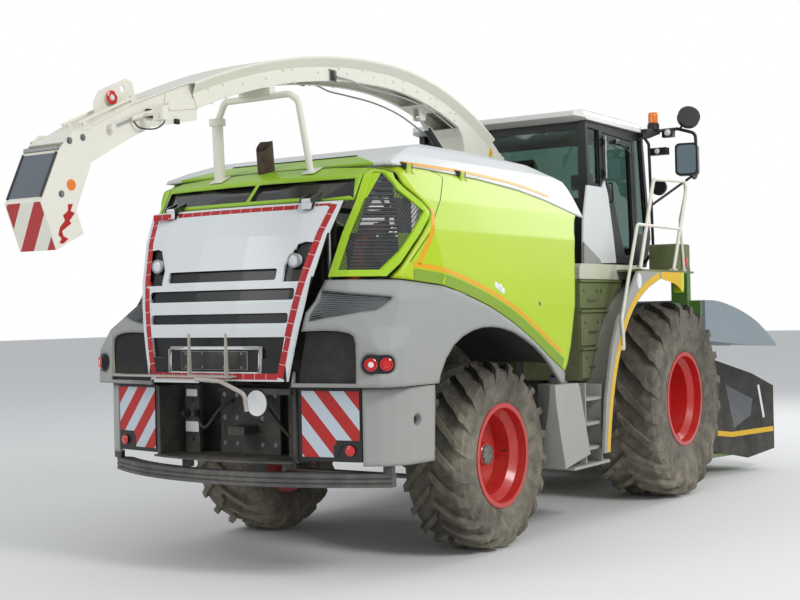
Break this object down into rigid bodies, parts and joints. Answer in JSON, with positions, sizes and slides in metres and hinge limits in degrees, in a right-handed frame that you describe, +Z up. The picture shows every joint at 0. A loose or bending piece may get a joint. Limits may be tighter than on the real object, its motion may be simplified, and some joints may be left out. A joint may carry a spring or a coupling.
{
  "type": "self-propelled forage harvester with a folded maize header",
  "caption": "Self-propelled forage harvester with a long curved discharge spout over its rear hood, a glazed cab, big front drive wheels, steered rear wheels and a header folded for the road.",
  "frame": {"origin": "on the ground under the middle of the whole machine, midway between the header's tip and the spout's flap", "axes": "+X forward, +Y to the driver's left, +Z up"},
  "size_m": [9.62, 3, 3.9186],
  "materials": {
    "chassis_frame": "satin",
    "tail_frame": "satin",
    "hood_frame": "satin",
    "front_axle": "satin",
    "rear_axle": "satin",
    "engine_block": "satin",
    "chopper_housing": "satin",
    "rear_bay": "satin",
    "rear_bumper": "satin",
    "corner_panels": "satin",
    "body_liners": "satin",
    "rear_signals": "satin",
    "roof_cap": "satin",
    "hood_top": "satin",
    "corner_screens": "satin",
    "exhaust_pipe": "satin",
    "spout_rest": "satin",
    "cab_frame": "satin",
    "cab_panels": "satin",
    "cab_roof": "satin",
    "cab_glass": "satin",
    "cab_seat": "satin",
    "mirror_set": "satin",
    "front_fenders": "satin",
    "side_decks": "satin",
    "service_tanks": "satin",
    "access_rails": "satin",
    "tyre_front_left": "satin",
    "rim_front_left": "satin",
    "tyre_front_right": "satin",
    "rim_front_right": "satin",
    "tyre_rear_left": "satin",
    "rim_rear_left": "satin",
    "tyre_rear_right": "satin",
    "rim_rear_right": "satin",
    "knuckle_left": "satin",
    "knuckle_right": "satin",
    "steering_bar": "satin",
    "spout_base": "satin",
    "spout_arm": "satin",
    "spout_flap": "satin",
    "spout_barrel": "satin",
    "spout_rod": "satin",
    "tailgate": "satin",
    "load_rack": "satin",
    "side_hood_left": "satin",
    "side_hood_right": "satin",
    "cab_door_left": "satin",
    "cab_door_right": "satin",
    "feeder_house": "satin",
    "header_frame": "satin",
    "header_noses": "satin",
    "header_guard": "satin",
    "rotor_left": "satin",
    "rotor_right": "satin",
    "lift_barrels": "satin",
    "lift_rods": "satin"
  },
  "bodies": {
    "chassis": {"chassis_frame": "chassis_frame", "tail_frame": "tail_frame", "hood_frame": "hood_frame", "front_axle": "front_axle", "rear_axle": "rear_axle", "engine_block": "engine_block", "chopper_housing": "chopper_housing", "rear_bay": "rear_bay", "rear_bumper": "rear_bumper", "corner_panels": "corner_panels", "body_liners": "body_liners", "rear_signals": "rear_signals", "roof_cap": "roof_cap", "hood_top": "hood_top", "corner_screens": "corner_screens", "exhaust_pipe": "exhaust_pipe", "spout_rest": "spout_rest", "cab_frame": "cab_frame", "cab_panels": "cab_panels", "cab_roof": "cab_roof", "cab_glass": "cab_glass", "cab_seat": "cab_seat", "mirror_set": "mirror_set", "front_fenders": "front_fenders", "side_decks": "side_decks", "service_tanks": "service_tanks", "access_rails": "access_rails"},
    "wheel_front_left": {"tyre_front_left": "tyre_front_left", "rim_front_left": "rim_front_left"},
    "wheel_front_right": {"tyre_front_right": "tyre_front_right", "rim_front_right": "rim_front_right"},
    "wheel_rear_left": {"tyre_rear_left": "tyre_rear_left", "rim_rear_left": "rim_rear_left"},
    "wheel_rear_right": {"tyre_rear_right": "tyre_rear_right", "rim_rear_right": "rim_rear_right"},
    "knuckle_left": {"knuckle_left": "knuckle_left"},
    "knuckle_right": {"knuckle_right": "knuckle_right"},
    "steering_bar": {"steering_bar": "steering_bar"},
    "spout_base": {"spout_base": "spout_base"},
    "spout_arm": {"spout_arm": "spout_arm"},
    "spout_flap": {"spout_flap": "spout_flap"},
    "spout_barrel": {"spout_barrel": "spout_barrel"},
    "spout_rod": {"spout_rod": "spout_rod"},
    "tailgate": {"tailgate": "tailgate", "load_rack": "load_rack"},
    "side_hood_left": {"side_hood_left": "side_hood_left"},
    "side_hood_right": {"side_hood_right": "side_hood_right"},
    "cab_door_left": {"cab_door_left": "cab_door_left"},
    "cab_door_right": {"cab_door_right": "cab_door_right"},
    "header": {"feeder_house": "feeder_house", "header_frame": "header_frame", "header_noses": "header_noses", "header_guard": "header_guard"},
    "rotor_left": {"rotor_left": "rotor_left"},
    "rotor_right": {"rotor_right": "rotor_right"},
    "lift_barrels": {"lift_barrels": "lift_barrels"},
    "lift_rods": {"lift_rods": "lift_rods"}
  },
  "joints": [
    {"name": "wheel_front_left_turn", "type": "hinge", "parent": "chassis", "child": "wheel_front_left", "pos_m": [2.09, 1.15, 0.945], "axis": [0, 1, 0], "continuous": true},
    {"name": "wheel_front_right_turn", "type": "hinge", "parent": "chassis", "child": "wheel_front_right", "pos_m": [2.09, -1.15, 0.945], "axis": [0, 1, 0], "continuous": true},
    {"name": "wheel_rear_left_turn", "type": "hinge", "parent": "knuckle_left", "child": "wheel_rear_left", "pos_m": [-1.25, 1.045, 0.725], "axis": [0, 1, 0], "continuous": true},
    {"name": "wheel_rear_right_turn", "type": "hinge", "parent": "knuckle_right", "child": "wheel_rear_right", "pos_m": [-1.25, -1.045, 0.725], "axis": [0, 1, 0], "continuous": true},
    {"name": "steer_left", "type": "hinge", "parent": "chassis", "child": "knuckle_left", "pos_m": [-1.25, 0.72, 0.725], "axis": [0, 0, 1], "range_deg": [-36, 36]},
    {"name": "steer_right", "type": "hinge", "parent": "chassis", "child": "knuckle_right", "pos_m": [-1.25, -0.72, 0.725], "axis": [0, 0, 1], "range_deg": [-36, 36]},
    {"name": "steering_bar_slide", "type": "slide", "parent": "chassis", "child": "steering_bar", "axis": [0, 1, 0], "range_m": [-0.14, 0.14]},
    {"name": "spout_slew", "type": "hinge", "parent": "chassis", "child": "spout_base", "pos_m": [0.53, 0, 3.08], "axis": [0, 0, 1], "range_deg": [-95, 95]},
    {"name": "spout_lift", "type": "hinge", "parent": "spout_base", "child": "spout_arm", "pos_m": [0.84, 0, 3.265], "axis": [0, 1, 0], "range_deg": [0, 20]},
    {"name": "spout_barrel_tilt", "type": "hinge", "parent": "spout_base", "child": "spout_barrel", "pos_m": [0.14, 0, 3.19], "axis": [0, 1, 0], "range_deg": [0, 31]},
    {"name": "spout_rod_slide", "type": "slide", "parent": "spout_barrel", "child": "spout_rod", "axis": [-0.798, 0, 0.6026], "range_m": [0, 0.23]},
    {"name": "spout_flap_swing", "type": "hinge", "parent": "spout_arm", "child": "spout_flap", "pos_m": [-4.47, 0, 2.96], "axis": [0, 1, 0], "range_deg": [-10, 50]},
    {"name": "tailgate_open", "type": "hinge", "parent": "chassis", "child": "tailgate", "pos_m": [-2.836, 0, 2.636], "axis": [0, 1, 0], "range_deg": [0, 65]},
    {"name": "side_hood_left_open", "type": "hinge", "parent": "chassis", "child": "side_hood_left", "pos_m": [-1.25, 1.104, 2.895], "axis": [1, 0, 0], "range_deg": [0, 70]},
    {"name": "side_hood_right_open", "type": "hinge", "parent": "chassis", "child": "side_hood_right", "pos_m": [-1.25, -1.104, 2.895], "axis": [-1, 0, 0], "range_deg": [0, 70]},
    {"name": "cab_door_left_open", "type": "hinge", "parent": "chassis", "child": "cab_door_left", "pos_m": [1.475, 0.934, 2.9], "axis": [0, 0, 1], "range_deg": [0, 40]},
    {"name": "cab_door_right_open", "type": "hinge", "parent": "chassis", "child": "cab_door_right", "pos_m": [1.475, -0.934, 2.9], "axis": [0, 0, -1], "range_deg": [0, 40]},
    {"name": "header_lift", "type": "hinge", "parent": "chassis", "child": "header", "pos_m": [2.3, 0, 0.9], "axis": [0, -1, 0], "range_deg": [-2, 8]},
    {"name": "rotor_left_turn", "type": "hinge", "parent": "header", "child": "rotor_left", "pos_m": [3.93, 0.455, 0.5], "axis": [0, 0, 1], "continuous": true},
    {"name": "rotor_right_turn", "type": "hinge", "parent": "header", "child": "rotor_right", "pos_m": [3.93, -0.455, 0.5], "axis": [0, 0, 1], "continuous": true},
    {"name": "lift_barrels_tilt", "type": "hinge", "parent": "chassis", "child": "lift_barrels", "pos_m": [1.5, 0, 0.56], "axis": [0, -1, 0], "range_deg": [-2, 5]},
    {"name": "lift_rods_slide", "type": "slide", "parent": "lift_barrels", "child": "lift_rods", "axis": [0.982, 0, -0.1891], "range_m": [-0.03, 0.08]}
  ],
  "couplings": [
    {"joint": "steer_right", "follows": "steer_left", "ratio": 1},
    {"joint": "steering_bar_slide", "follows": "steer_left", "m_per_rad": 0.2},
    {"joint": "spout_barrel_tilt", "follows": "spout_lift", "ratio": 1.52},
    {"joint": "spout_rod_slide", "follows": "spout_lift", "m_per_rad": 0.62},
    {"joint": "lift_barrels_tilt", "follows": "header_lift", "ratio": 0.467},
    {"joint": "lift_rods_slide", "follows": "header_lift", "m_per_rad": 0.4448}
  ]
}
